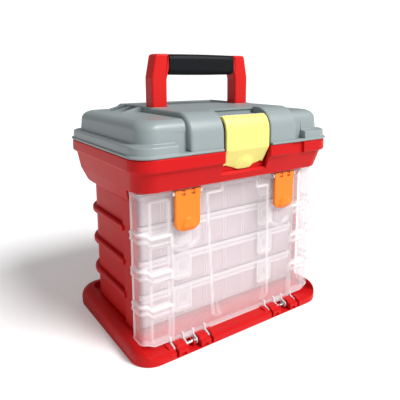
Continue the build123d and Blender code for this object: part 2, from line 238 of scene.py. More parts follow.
def rounded(points, closed=False, step=15.0):
    """A line through (u, v, radius) points, with its corners rounded to arcs."""
    out = []
    count = len(points)
    for i, (u, v, radius) in enumerate(points):
        here = Vector((u, v))
        if radius <= 0 or (not closed and i in (0, count - 1)):
            out.append(here)
            continue
        back = (Vector(points[i - 1][:2]) - here).normalized()
        on = (Vector(points[(i + 1) % count][:2]) - here).normalized()
        turn = math.pi - back.angle(on)
        if turn < 1e-3:
            out.append(here)
            continue
        reach = radius * math.tan(turn / 2)
        first = here + back * reach
        centre = here + (back + on).normalized() * (radius / math.cos(turn / 2))
        arm = first - centre
        way = 1 if arm.x * (here + on * reach - centre).y - arm.y * (here + on * reach - centre).x > 0 else -1
        steps = max(2, math.ceil(math.degrees(turn) / step))
        for k in range(steps + 1):
            c, s = math.cos(way * turn * k / steps), math.sin(way * turn * k / steps)
            out.append(centre + Vector((arm.x * c - arm.y * s, arm.x * s + arm.y * c)))
    return out


def plan_ring(half, front, back, r_front, r_back, z, step=9.0):
    """A rounded rectangle at height z, anticlockwise from its front left corner."""
    r_front, r_back = max(r_front, 0.3), max(r_back, 0.3)
    corners = ((-half, front, r_front), (half, front, r_front), (half, back, r_back), (-half, back, r_back))
    return [Vector((p.x, p.y, z)) for p in rounded(corners, closed=True, step=step)]


def loft(bm, rings):
    """Skins closed rings of equal length, one after another, and caps both ends."""
    rows = [[bm.verts.new(p) for p in ring] for ring in rings]
    count = len(rows[0])
    for low, high in zip(rows, rows[1:]):
        for i in range(count):
            j = (i + 1) % count
            bm.faces.new((low[i], low[j], high[j], high[i]))
    bm.faces.new(list(reversed(rows[0])))
    bm.faces.new(rows[-1])
    return rows


def across(bm, outline, x0, x1, edge=0.0, edge_steps=4):
    """Draws a (y, z) outline out along X, with its two ends rounded by edge."""
    rings = []
    stations = [(x0, 0.0), (x1, 0.0)]
    if edge > 0:
        stations = [(x0 + edge * (1 - math.cos(math.pi / 2 * k / edge_steps)),
                     edge * (1 - math.sin(math.pi / 2 * k / edge_steps))) for k in range(edge_steps + 1)]
        stations += [(x1 - (x - x0), inset) for x, inset in reversed(stations)]
    for x, inset in stations:
        ring = inset_outline(outline, inset) if inset > 1e-6 else outline
        rings.append([Vector((x, p.x, p.y)) for p in ring])
    loft(bm, rings)


def along_y(bm, outline, y0, y1, edge=0.0, edge_steps=4):
    """Draws an (x, z) outline out along Y."""
    before = len(bm.verts)
    across(bm, outline, y0, y1, edge, edge_steps)
    bm.verts.ensure_lookup_table()
    for vert in bm.verts[before:]:
        vert.co = Vector((vert.co.y, vert.co.x, vert.co.z))


def inset_outline(outline, inset):
    """Moves every point of a closed outline inwards, square to its two neighbours."""
    count = len(outline)
    area = sum(outline[i].x * outline[(i + 1) % count].y - outline[(i + 1) % count].x * outline[i].y
               for i in range(count))
    turn = 1 if area > 0 else -1
    out = []
    for i, p in enumerate(outline):
        a = (p - outline[i - 1]).normalized()
        b = (outline[(i + 1) % count] - p).normalized()
        na, nb = Vector((-a.y, a.x)) * turn, Vector((-b.y, b.x)) * turn
        n = (na + nb).normalized()
        out.append(p + n * (inset / max(0.5, n.dot(na))))
    return out


def box(bm, x0, x1, y0, y1, z0, z1, edge=0.0):
    """A block with softened edges."""
    if edge <= 0:
        rings = [(0, z0), (0, z1)]
    else:
        rings = [(edge, z0), (edge * 0.3, z0 + edge * 0.3), (0, z0 + edge),
                 (0, z1 - edge), (edge * 0.3, z1 - edge * 0.3), (edge, z1)]
    half, mid = (x1 - x0) / 2, (x0 + x1) / 2
    made = []
    for inset, z in rings:
        corner = max(edge, 0.05) * 0.9
        ring = plan_ring(half - inset, y0 + inset, y1 - inset, corner, corner, z, 30)
        made.append([p + Vector((mid, 0, 0)) for p in ring])
    loft(bm, made)


def rod(bm, x0, x1, y, z, radius, sides=24, edge=0.0):
    """A round bar along X."""
    outline = [Vector((y + radius * math.cos(t), z + radius * math.sin(t)))
               for t in (2 * math.pi * k / sides for k in range(sides))]
    across(bm, outline, x0, x1, edge, 3)


def smoothstep(t):
    """0 below 0, 1 above 1, and a smooth rise between."""
    t = max(0.0, min(1.0, t))
    return t * t * (3 - 2 * t)


def piece_from(bm, name, angle=32.0):
    """Turns millimetres into a smooth-shaded object whose edges sharper than angle stay sharp."""
    bmesh.ops.recalc_face_normals(bm, faces=bm.faces)
    bmesh.ops.scale(bm, vec=(MM, MM, MM), verts=bm.verts)
    mesh = bpy.data.meshes.new(name)
    bm.to_mesh(mesh)
    bm.free()
    made = bpy.data.objects.new(name, mesh)
    scene.collection.objects.link(made)
    shade(made, angle)
    return made


def shade(made, angle):
    """Smooth shading with edges sharper than angle kept sharp."""
    for polygon in made.data.polygons:
        polygon.use_smooth = True
    made.data.set_sharp_from_angle(angle=math.radians(angle))


def carve(base, *cutters):
    """Cuts the helpers out of base in turn, then removes them."""
    for cutter in cutters:
        change = base.modifiers.new("cut", "BOOLEAN")
        change.operation = "DIFFERENCE"
        change.solver = "EXACT"
        change.object = cutter
    settle(base)
    for cutter in cutters:
        bpy.data.objects.remove(cutter)
    bm = bmesh.new()
    bm.from_mesh(base.data)
    many_sided = [face for face in bm.faces if len(face.verts) > 4]
    bmesh.ops.triangulate(bm, faces=many_sided, quad_method="BEAUTY", ngon_method="BEAUTY")
    bm.to_mesh(base.data)
    bm.free()
    return base


def joined(name, *parts, angle=32.0):
    """One object out of several."""
    bm = bmesh.new()
    for part in parts:
        bm.from_mesh(part.data)
        bpy.data.objects.remove(part)
    mesh = bpy.data.meshes.new(name)
    bm.to_mesh(mesh)
    bm.free()
    made = bpy.data.objects.new(name, mesh)
    scene.collection.objects.link(made)
    shade(made, angle)
    return made


def settle(made):
    """Applies all modifiers of an object to a plain mesh."""
    graph = bpy.context.evaluated_depsgraph_get()
    mesh = bpy.data.meshes.new_from_object(made.evaluated_get(graph))
    mesh.name = made.name
    made.modifiers.clear()
    made.data = mesh


def finish_piece(made, material, node, body=None):
    """Gives a piece its finish, body and slot. It stands for node, unless body says it only rides along."""
    made.data.materials.clear()
    made.data.materials.append(material)
    for polygon in made.data.polygons:
        polygon.material_index = 0
    weighted = made.modifiers.new("even_shading", "WEIGHTED_NORMAL")
    weighted.keep_sharp = True
    weighted.weight = 90
    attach(made, body or BODY_OF[node])
    if not body:
        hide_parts(node)


def helper(name, build):
    """An object from a function that fills an empty mesh."""
    bm = bmesh.new()
    build(bm)
    return piece_from(bm, name)


def sheet(name, columns, rows, place, thickness, highlight_gain=1.2, angle=50.0):
    """A thin closed sheet: place(u, v) gives a point, its outward direction and its lift.

    The attribute that paints the highlight on clear plastic is high where the lift changes quickly and along
    the border.
    """
    bm = bmesh.new()
    crease = bm.verts.layers.float.new("crease")
    grid = [[place(u, v) for u in columns] for v in rows]
    last_row, last_column = len(rows) - 1, len(columns) - 1
    faces = []
    for depth in (0.0, thickness):
        face = []
        for j, line in enumerate(grid):
            verts = []
            for i, (point, out, lift) in enumerate(line):
                vert = bm.verts.new(point + out * (lift - depth))
                near = [grid[max(j - 1, 0)][i][2], grid[min(j + 1, last_row)][i][2],
                        line[max(i - 1, 0)][2], line[min(i + 1, last_column)][2]]
                # Painted highlight: full along the border, and stronger where the lift is steep.
                steep = max(abs(lift - other) for other in near)
                border = j in (0, last_row) or i in (0, last_column)
                vert[crease] = 1.0 if border else min(1.0, steep * highlight_gain)
                verts.append(vert)
            face.append(verts)
        faces.append(face)
    outer, inner = faces
    for j in range(last_row):
        for i in range(last_column):
            bm.faces.new((outer[j][i], outer[j][i + 1], outer[j + 1][i + 1], outer[j + 1][i]))
            bm.faces.new((inner[j][i], inner[j + 1][i], inner[j + 1][i + 1], inner[j][i + 1]))
    rim = [(0, i) for i in range(last_column)] + [(j, last_column) for j in range(last_row)]
    rim += [(last_row, i) for i in range(last_column, 0, -1)] + [(j, 0) for j in range(last_row, 0, -1)]
    for (j0, i0), (j1, i1) in zip(rim, rim[1:] + rim[:1]):
        bm.faces.new((outer[j0][i0], inner[j0][i0], inner[j1][i1], outer[j1][i1]))
    return piece_from(bm, name, angle)


def collar(bm, rings, crease, values):
    """A closed ring-shaped solid: the last ring joins the first again."""
    rows = [[bm.verts.new(p) for p in ring] for ring in rings]
    for low, high in zip(rows, rows[1:] + rows[:1]):
        for i in range(len(low)):
            j = (i + 1) % len(low)
            bm.faces.new((low[i], low[j], high[j], high[i]))
    mark(rows, crease, values)


def mark(rows, crease, values):
    """Writes one painted-highlight value to each row of points."""
    for verts, value in zip(rows, values):
        for vert in verts:
            vert[crease] = value


def row_tree():
    """Geometry nodes: one piece repeated along a straight line, as plain mesh with its finish."""
    tree = bpy.data.node_groups.new("row_of_pieces", "GeometryNodeTree")
    for label, kind in (("Piece", "Object"), ("Count", "Int"), ("Start", "Vector"), ("Step", "Vector"),
                        ("Finish", "Material")):
        tree.interface.new_socket(label, in_out="INPUT", socket_type="NodeSocket" + kind)
    tree.interface.new_socket("Geometry", in_out="OUTPUT", socket_type="NodeSocketGeometry")
    nodes, link = tree.nodes, tree.links.new
    into, out = nodes.new("NodeGroupInput"), nodes.new("NodeGroupOutput")
    line = nodes.new("GeometryNodeMeshLine")
    line.mode = "OFFSET"
    shape = nodes.new("GeometryNodeObjectInfo")
    shape.inputs["As Instance"].default_value = True
    spread = nodes.new("GeometryNodeInstanceOnPoints")
    plain = nodes.new("GeometryNodeRealizeInstances")
    paint = nodes.new("GeometryNodeSetMaterial")
    link(into.outputs["Count"], line.inputs["Count"])
    link(into.outputs["Start"], line.inputs["Start Location"])
    link(into.outputs["Step"], line.inputs["Offset"])
    link(into.outputs["Piece"], shape.inputs["Object"])
    link(line.outputs["Mesh"], spread.inputs["Points"])
    link(shape.outputs["Geometry"], spread.inputs["Instance"])
    link(spread.outputs["Instances"], plain.inputs["Geometry"])
    link(plain.outputs["Geometry"], paint.inputs["Geometry"])
    link(into.outputs["Finish"], paint.inputs["Material"])
    link(paint.outputs["Geometry"], out.inputs["Geometry"])
    return tree


ROW_TREE = row_tree()


def row_of(name, shape, count, start, step, material):
    """Repeats shape count times, start and step in millimetres, and keeps only the resulting mesh."""
    made = bpy.data.objects.new(name, bpy.data.meshes.new(name))
    scene.collection.objects.link(made)
    change = made.modifiers.new("row", "NODES")
    change.node_group = ROW_TREE
    given = {"Piece": shape, "Count": count, "Start": [v * MM for v in start], "Step": [v * MM for v in step],
             "Finish": material}
    for item in ROW_TREE.interface.items_tree:
        if item.in_out == "INPUT":
            change[item.identifier] = given[item.name]
    settle(made)
    bpy.data.objects.remove(shape)
    shade(made, 32)
    return made


# ---------------- foot

FOOT_HIGH = Vector(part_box("base_plinth")[1]) / MM
FOOT_TOP = 22.0
SILL = 9.5
HINGE_X = 68.0
HINGE_AXIS = (-83.0, 5.5)


def foot_sections(profile):
    """Rings of the foot's plan, shrunk by each profile point's inset."""
    half, depth, radius = FOOT_HIGH.x, FOOT_HIGH.y, 25.0
    return [plan_ring(half - p.x, -depth + p.x, depth - p.x, radius - p.x, radius - p.x, p.y)
            for p in profile]


def foot():
    """The flared foot: shoulder, front sill with its hinge slots and lugs, and ribs underneath."""
    profile = rounded(((30, 6.2, 0), (5.0, 6.2, 1.5), (4.2, 1.0, 0.6), (3.8, 0, 0.4), (1.0, 0, 0.5),
                       (0.5, 2, 0.5), (0, FOOT_TOP, 12.5), (16.2, FOOT_TOP, 1.5), (16.8, 16, 0), (30, 16, 0)))
    bm = bmesh.new()
    loft(bm, foot_sections(profile))
    made = piece_from(bm, "foot_moulding")

    def sill_cut(bm):
        stations = ((-127.4, 13.5), (-126.2, 6.0), (-124.8, 2.2), (-122.6, 0.5), (-119.5, 0.0))
        stations += tuple((-x, rise) for x, rise in reversed(stations))
        rings = []
        for x, rise in stations:
            sill = [(-104, 5.4), (-96, 6.4), (-93.6, 7.6), (-91.2, 8.8), (-88, SILL), (-62, SILL),
                    (-58.4, 10.6), (-57.4, 13.5), (-57.3, 40), (-104, 40)]
            rings.append([Vector((x, y, z + (rise if z < 39 else 0))) for y, z in sill])
        loft(bm, rings)

    def slots(bm):
        for c in (-HINGE_X, HINGE_X):
            for dx, half in ((-22.5, 1.7), (0.0, 8.3), (22.5, 1.7)):
                box(bm, c + dx - half, c + dx + half, -97, -74.5, 1.0, 12)
            for dx in (-17.0, 11.5):
                box(bm, c + dx - 1.6, c + dx + 5.4, -97, -91.6, 1.0, 4.6)

    def lugs(bm):
        y = HINGE_AXIS[0]
        for c in (-HINGE_X, HINGE_X):
            for x0, x1 in ((-30.5, -24.4), (-20.5, -8.6), (8.6, 20.5), (24.4, 30.5)):
                outline = rounded(((y - 6.5, 1.0, 0), (y + 9, 1.0, 0), (y + 8.4, 10.4, 1.2),
                                   (y - 3.5, 11.2, 3.0), (y - 8.8, 7.6, 1.4)), closed=True)
                across(bm, outline, c + x0, c + x1, 0.7)

    def ribs(bm):
        for x in (-98, -65, -32.5, 0, 32.5, 65, 98):
            box(bm, x - 1.1, x + 1.1, -87, 87, 0.3, 7)
        for y in (-58, -30, 0, 30, 58):
            box(bm, -128, 128, y - 1.1, y + 1.1, 1.0, 7)

    def slot_floors(bm):
        for c in (-HINGE_X, HINGE_X):
            box(bm, c - 33, c + 33, -91.6, -73.6, 0.3, 1.2)
            box(bm, c - 33, c + 33, -75.4, -73.6, 1.2, 9.0)

    carve(made, helper("sill_cut", sill_cut), helper("slots", slots))
    extras = [helper("foot_extra", shape) for shape in (lugs, ribs, slot_floors)]
    made = joined("foot", made, *extras)
    finish_piece(made, RED, "base_plinth")


# ---------------- bin above the trays

BIN_DEPTH = 97.5
BIN_HALF = 134.5
BIN_BAND = 204.0
BIN_FLOOR = 182.0
LID_HINGE = (99.0, 216.0)
LID_PIN_SPAN = 60.0
KNUCKLE_R = 4.5


def bin_ring(inset, z):
    """A ring of the bin: the front wall slopes in more than the back and the sides."""
    below = max(0.0, BIN_BAND - max(z, BIN_FLOOR))
    radius = max(23.0 - inset * 0.35, 4.0) + max(0.0, BIN_FLOOR - z) * 1.1
    front = -(BIN_DEPTH - inset - 0.2 * below)
    back = BIN_DEPTH - inset - 0.08 * below
    return plan_ring(BIN_HALF - inset, front, back, radius, radius, z)


def bin_body():
    """The bin above the trays, with its side skirt, latch pocket, keepers and rear knuckles."""
    outside = rounded(((14.8, 181.8, 0), (14.8, 169.0, 0), (15.0, 166.2, 0), (10.2, 167.2, 6),
                       (6.6, 183.0, 16), (3.6, 203.0, 1.5), (0.6, 204.0, 0.9), (0.0, 206.0, 1.2),
                       (0.2, 217.0, 1.3), (4.0, 217.0, 0.8), (5.2, 213.0, 1.0), (10.0, 185.0, 5.0),
                       (20.0, 185.0, 0)))
    bm = bmesh.new()
    loft(bm, [bin_ring(p.x, p.y) for p in outside])
    made = piece_from(bm, "bin_moulding")

    def front_cut(bm):
        outline = rounded(((-130, 150, 0), (-57.6, 150, 0), (-56.8, 181.9, 2), (-130, 181.9, 0)), closed=True)
        across(bm, outline, -150, 150)

    def backing(bm):
        box(bm, -36.5, 36.5, -84.5, -79.5, 182.1, 216.6, 0.4)

    def pocket(bm):
        outline = rounded(((-112, 187.5, 0), (-90.8, 187.5, 0), (-84.5, 194.0, 0), (-84.5, 230.0, 0),
                           (-112, 230, 0)), closed=True)
        across(bm, outline, -32.2, 32.2, 0.6)

    def notch(bm):
        box(bm, 65.5, 85.5, -102, -94.4, 202.0, 219.0, 0.6)

    def keepers(bm):
        box(bm, -10, 10, -86.6, -84, 194, 197, 0.5)
        for c in (-69.5, 69.5):
            for dx in (-6, 6):
                box(bm, c + dx - 2, c + dx + 2, -84.5, -79.6, 180.9, 184, 0.3)

    def knuckles(bm):
        for x0, x1 in ((-34.6, -10.4), (10.4, 34.6)):
            rod(bm, x0, x1, *LID_HINGE, KNUCKLE_R, 28, 0.6)
            box(bm, x0, x1, 93, 99, 207, 216, 0.3)

    def knuckle_gaps(bm):
        for x0, x1 in ((-55.5, -34.5), (-10.5, 10.5), (34.5, 55.5)):
            box(bm, x0, x1, 93.9, 120, 210.9, 230)

    def pin_bore(bm):
        rod(bm, -LID_PIN_SPAN, LID_PIN_SPAN, *LID_HINGE, 2.05, 24)

    carve(made, *(helper("bin_cut", shape) for shape in (front_cut, pocket, notch, knuckle_gaps, pin_bore)))
    extras = [helper("bin_extra", shape) for shape in (backing, keepers, knuckles)]
    finish_piece(joined("top_bin", made, *extras), RED, "top_tub")


# ---------------- lid

LID_HALF = 135.0
LID_DEPTH = 98.0
BAND_HALF = 74.0
BAND_DEPTH = 95.5
BAND_TOP = 258.5
BAND_R = 24.0
BAND_FOOT = 219.4
BAND_ROLL = 3.6
RECESS_BACK = -60.0


def lid_ring(inset, z):
    """A ring of the lid's plan at height z."""
    radius = max(22.0 - inset * 0.25, 3.0)
    return plan_ring(LID_HALF - inset, -LID_DEPTH + inset, LID_DEPTH - inset, radius, radius, z, 7.5)


def band_outline(off, low, step=7.5):
    """The band from the side, (y, z), shrunk by off all round and cut off at height low."""
    depth, top, radius = BAND_DEPTH - off, BAND_TOP - off, max(BAND_R - off, 2)
    lean = 1.2
    return rounded(((-depth, low, 0), (-depth + lean, top, radius), (depth - lean, top, radius),
                    (depth, low, 0)), closed=True, step=step)


def band_strip(bm, x0, x1, outer, inner, back=None):
    """The wall of the band between two offsets, as one closed section drawn out along X."""
    keep, under = band_outline(outer, BAND_FOOT), band_outline(inner, BAND_FOOT)
    if back is not None:
        keep = [p for p in keep if p.x < back] + [Vector((back, BAND_TOP - outer))]
        under = [p for p in under if p.x < back] + [Vector((back, BAND_TOP - inner))]
    line = keep + list(reversed(under))
    across(bm, line, x0, x1)


WELL_LINE = ((-71, -12, 2), (-48.5, -12, 2), (-48.5, 43, 4), (48.5, 43, 4), (48.5, -12, 2), (71, -12, 2),
             (71, 73, 2), (-71, 73, 2))


def well_rings(levels):
    """Rings of the handle's U-shaped well, grown by each level's amount."""
    line = rounded(WELL_LINE, closed=True, step=30)
    return [[Vector((p.x, p.y, z)) for p in inset_outline(line, -grow)] for grow, z in levels]


def lid():
    """The lid: dome, raised band with the handle's well, latch recess, knuckles and gussets."""
    shell = rounded(((40.0, 249.8, 0), (14.0, 249.8, 8.5), (12.6, 219.0, 1), (5.2, 217.3, 0.6),
                     (0.9, 217.3, 0.6), (0.0, 218.0, 0.7), (0.0, 219.6, 0.7), (1.9, 220.4, 0.8),
                     (2.3, 228.6, 2.0), (9.6, 229.6, 1.6), (11.6, 252.4, 11.0), (40.0, 252.4, 0)))
    bm = bmesh.new()
    loft(bm, [lid_ring(p.x, p.y) for p in shell])
    dome = piece_from(bm, "lid_dome")

    def band_middle(bm):
        band_strip(bm, -BAND_HALF + BAND_ROLL, BAND_HALF - BAND_ROLL, 0, 2.5)

    def band_ends(bm):
        rings = []
        for k in range(7):
            t = math.pi / 2 * k / 6
            rings.append((BAND_HALF - BAND_ROLL + BAND_ROLL * math.sin(t), BAND_ROLL * (1 - math.cos(t))))
        line = band_outline(0, BAND_FOOT)
        for side in (-1, 1):
            made = []
            for x, inset in rings:
                ring = inset_outline(line, inset) if inset > 1e-6 else line
                made.append([Vector((side * x, p.x, p.y)) for p in ring])
            loft(bm, made)

    def ledge_cut(bm):
        outline = [Vector(p) for p in ((-120, 220.3), (-88.0, 220.3), (-87.2, 240), (-120, 240))]
        across(bm, outline, -88, 88)

    def well_hole(bm):
        loft(bm, well_rings(((1.2, 230), (1.2, 262))))

    def recess_hole(bm):
        inner = [p for p in band_outline(9.0, 200) if p.x < -63.5 and p.y > 205]
        line = [Vector((-BAND_DEPTH + 9.0, 200.0))] + inner
        line += [Vector(p) for p in ((-63.5, BAND_TOP - 9.0), (-63.5, 275), (-118, 275), (-118, 200))]
        across(bm, line, -34.2, 34.2)

    def well_tray(bm):
        loft(bm, well_rings(((2.5, 237.0), (2.5, 257.4), (2.1, 258.4), (1.2, 258.75), (0.3, 258.4),
                             (0, 257.6), (0, 241.0), (-0.4, 240.0), (-1.2, 239.5))))

    def recess_liner(bm):
        band_strip(bm, -35.5, 35.5, 7.2, 9.5, RECESS_BACK)
        for side in (-1, 1):
            x0, x1 = sorted((side * 33.0, side * 35.5))
            band_strip(bm, x0, x1, 0.25, 9.5, RECESS_BACK)
        box(bm, -35.5, 35.5, -62.0, -59.8, BAND_TOP - 9.5, BAND_TOP - 0.2, 0.3)

    def knuckles(bm):
        for x0, x1 in ((-55, -35), (-10, 10), (35, 55)):
            rod(bm, x0, x1, *LID_HINGE, KNUCKLE_R, 28, 0.6)
            box(bm, x0, x1, 95, 99, 217.3, 220.6, 0.3)

    def knuckle_gaps(bm):
        for x0, x1 in ((-35.1, -9.9), (9.9, 35.1)):
            box(bm, x0, x1, 93.9, 120, 200, 221.5)

    carve(dome, *(helper("lid_cut", shape) for shape in (ledge_cut, well_hole, recess_hole, knuckle_gaps)))
    middle = carve(helper("band_middle", band_middle), helper("cut", well_hole), helper("cut", recess_hole))
    ends = carve(helper("band_ends", band_ends), helper("cut", well_hole))
    extras = [helper("lid_extra", shape) for shape in (well_tray, recess_liner, knuckles)]
    finish_piece(joined("lid", dome, middle, ends, *extras), GREY, "lid_shell")

    for side, name in ((-1, "left"), (1, "right")):
        def gusset(bm):
            x = side * (BAND_HALF - 0.5)
            line = [Vector(p) for p in ((x, 250.5), (x + side * 26, 251.2), (x + side * 26, 252.2),
                                        (x + side * 3, 258.4), (x, 258.4))]
            along_y(bm, line, -3.0, 3.0, 0.5)

        made = row_of("lid_gussets_" + name, helper("gusset", gusset), 3, (0, 12, 0), (0, 22.5, 0), GREY)
        finish_piece(made, GREY, "lid_shell", body="lid")


# ---------------- cabinet wall

def softened(node_name, width, angle=32):
    """A merged copy of a moulded part with rounded edges, in place of its sharp original."""
    node = frame["nodes"][node_name]
    bm = bmesh.new()
    bm.from_mesh(node.data)
    bmesh.ops.remove_doubles(bm, verts=bm.verts, dist=1e-6)
    bmesh.ops.dissolve_limit(bm, angle_limit=math.radians(0.6), verts=bm.verts, edges=bm.edges)
    notched = [face for face in bm.faces if len(face.verts) > 4 and abs(face.normal.y) > 0.99]
    bmesh.ops.triangulate(bm, faces=notched)
    mesh = bpy.data.meshes.new(node_name + "_soft")
    bm.to_mesh(mesh)
    bm.free()
    made = bpy.data.objects.new(node_name + "_soft", mesh)
    scene.collection.objects.link(made)
    bevel = made.modifiers.new("rounded_edges", "BEVEL")
    bevel.width = width * MM
    bevel.segments = 3
    bevel.limit_method = "ANGLE"
    bevel.angle_limit = math.radians(angle)
    settle(made)
    shade(made, 40)
    finish_piece(made, FINISH[SLOT_OF[node_name]], node_name)


# ---------------- clear front cover

COVER_HALF = 123.75
COVER_FRONT = -77.5
COVER_TOP = 180.0
COVER_R = 6.0
COVER_WALL = 2.0
TRAY_PITCH = 39.0
BEAD_LEVEL = 50.0
CLASP_X = 69.5
SIDE_RUN = 13.5
SIDE_STEPS = 7
FRONT_STEPS = 168
HEIGHT_STEPS = 136


def cover_stations():
    """(x, y, out, unrolled distance from the middle) along the cover's plan, from left to right."""
    straight = COVER_HALF - COVER_R
    turn = COVER_R * math.pi / 2
    right = []
    for k in range(1, SIDE_STEPS + 1):
        a = math.pi / 2 * k / SIDE_STEPS
        right.append((straight + COVER_R * math.sin(a), COVER_FRONT + COVER_R * (1 - math.cos(a)),
                      Vector((math.sin(a), -math.cos(a), 0)), straight + COVER_R * a))
    for k in range(1, SIDE_STEPS + 1):
        run = SIDE_RUN * k / SIDE_STEPS
        right.append((COVER_HALF, COVER_FRONT + COVER_R + run, Vector((1, 0, 0)), straight + turn + run))
    front = [(x, COVER_FRONT, Vector((0, -1, 0)), x)
             for x in (-straight + 2 * straight * k / FRONT_STEPS for k in range(FRONT_STEPS + 1))]
    left = [(-x, y, Vector((-out.x, out.y, 0)), -u) for x, y, out, u in reversed(right)]
    return left + front + right


def cover_bottom(u):
    """The height of the cover's lower edge, which rises in two steps towards the corners."""
    a = abs(u)
    return 10.0 + 2.4 * smoothstep((a - 86) / 3) + 5.0 * smoothstep((a - 108) / 12)


def window(value, low, high, soft):
    """1 between low and high, 0 outside, with a slope soft wide."""
    return smoothstep((value - low) / soft + 0.5) * smoothstep((high - value) / soft + 0.5)


def cover_lift(u, z):
    """How far the moulded front stands out from its plain sheet."""
    a = abs(u)
    corner = smoothstep((a - 88) / 3)
    lift = 0.5 * smoothstep((a - 85.2) / 1.2)
    for k in range(4):
        middle = BEAD_LEVEL + TRAY_PITCH * k + 6.0 * smoothstep((a - 111) / 7)
        window_top = middle - 6.5
        if k < 3:
            lift += 1.7 * window(z, middle - 4.6, middle + 4.8, 1.5) * smoothstep((a - 86.5) / 2.0)
            lift -= 0.7 * window(z, middle - 2.4, middle + 2.4, 1.8) * corner
        else:
            window_top = middle + 3.0
        lift -= 0.6 * window(z, middle - 31.5, window_top, 1.5) * window(a, 90, 112, 1.5)
    half = 41.0 - 8.0 * (162 - z) / 141 if u < 0 else 47.0 + 3.0 * (162 - z) / 141
    if z < 27:
        half -= 6.0 * (1 - math.sqrt(max(0.0, 1 - ((27 - z) / 6.0) ** 2)))
    if z > (169 if u < 0 else 165.5):
        half = 22.0 if u < 0 else 30.0
    fade = max(smoothstep((z - 18) / 34), smoothstep((a - half + 11) / 6))
    lift += 0.8 * smoothstep((half - a) / 1.3 + 0.5) * smoothstep((z - 20) / 2.0) * fade
    x = abs(u) - CLASP_X if u > 0 else u + CLASP_X
    low = 111 + (x / 17) ** 2 * 9
    lift -= 0.8 * window(z, low, 137, 5.0) * window(x, -17, 17, 4.5)
    # A small raised crescent at the lower right of each finger pocket, steep enough to carry a painted
    # highlight there.
    lift += 0.9 * window(z, low + 0.5, low + 3.5, 1.2) * window(x, 5, 14, 3)
    lift += 0.5 * window(z, 0, cover_bottom(u) + 3.5, 1.3)
    lift += 0.5 * window(z, 176.4, 200, 1.3)
    behind_clasp = window(abs(u), CLASP_X - 17.5, CLASP_X + 17.5, 1.5) * smoothstep((z - 141) / 3)
    return lift * (1 - behind_clasp) - 0.2 * behind_clasp


def cover():
    """The clear drop-down cover with its top flange, clasp ears and hinge arms."""
    stations = cover_stations()
    rows = [k / HEIGHT_STEPS for k in range(HEIGHT_STEPS + 1)]

    def place(i, v):
        x, y, out, u = stations[i]
        low = cover_bottom(u)
        z = low + (COVER_TOP - low) * v
        return Vector((x, y, z)), out, cover_lift(u, z)

    front = sheet("cover_sheet", range(len(stations)), rows, place, COVER_WALL, 0.8)

    def fittings(bm):
        crease = bm.verts.layers.float.new("crease")
        clasp_cuts = sorted(side * CLASP_X + dx for side in (-1, 1) for dx in (-6, 6))
        edges = [-COVER_HALF + 1.2] + [x + d for x in clasp_cuts for d in (-3.2, 3.2)] + [COVER_HALF - 1.2]
        for x0, x1 in zip(edges[::2], edges[1::2]):
            box(bm, x0, x1, -76.5, -58, 178.0, 180.0, 0.3)
        for x0, x1 in zip(edges[1::2], edges[2::2]):
            box(bm, x0, x1, -76.5, -71, 178.0, 180.0, 0.3)
        for side in (-1, 1):
            c = side * CLASP_X
            for dx in (-17.15, 17.15):
                ear = rounded(((-76.5, 173.9, 0), (-82.8, 173.9, 1.6), (-82.8, 178.9, 2.2),
                               (-76.5, 178.9, 0)), closed=True)
                across(bm, ear, c + dx - 1.25, c + dx + 1.25, 0.3)
        # Painted highlight: faint on the top flange, strong on the clasp ears.
        for vert in bm.verts:
            vert[crease] = 0.18 if vert.co.z > 177.5 and vert.co.y > -77 else 0.8

    def hinge_arm(width):
        def build(bm):
            crease = bm.verts.layers.float.new("crease")
            y, z = HINGE_AXIS
            arm = rounded(((y - 3.7, z - 3.4, 2.6), (y + 3.2, z - 3.4, 2.6), (-75.6, 10.2, 0),
                           (-75.6, 17.0, 0), (-78.4, 17.0, 1.0), (-79.4, 11.0, 0),
                           (y - 3.7, z + 3.0, 2.0)), closed=True)
            across(bm, arm, -width / 2, width / 2, 0.3)
            # Painted highlight along the whole hinge arm.
            for vert in bm.verts:
                vert[crease] = 0.85
        return build

    parts = [front, helper("cover_fittings", fittings)]
    for side in (-1, 1):
        c = side * HINGE_X
        for name, width, reach in (("cover_fins", 2.2, 22.5), ("cover_teeth", 1.8, 6.6)):
            arm = helper("hinge_arm", hinge_arm(width))
            parts.append(row_of(name, arm, 2, (c - reach, 0, 0), (2 * reach, 0, 0), CLEAR))

        def plate(bm):
            crease = bm.verts.layers.float.new("crease")
            box(bm, c - 6.4, c + 6.4, -79.2, -77.2, 8.2, 15.5, 0.5)
            # Almost no painted highlight on the hinge plate.
            for vert in bm.verts:
                vert[crease] = 0.05

        parts.append(helper("cover_hinge_plate", plate))
    finish_piece(joined("front_cover_moulding", *parts, angle=50), CLEAR, "front_cover")


# ---------------- trays

TRAY_LEVEL = 55.5
TRAY_HALF = 113.0
TRAY_FRONT = -54.0
TRAY_BACK = 61.0


def tray_ring(out, front_out, z):
    """A ring of the tray's plan, grown sideways by out and at the front and back by front_out."""
    r_front, r_back = 6 + min(out, 2), 12 + out * 1.4
    return plan_ring(TRAY_HALF + out, TRAY_FRONT - front_out, TRAY_BACK + front_out, r_front, r_back, z, 15)


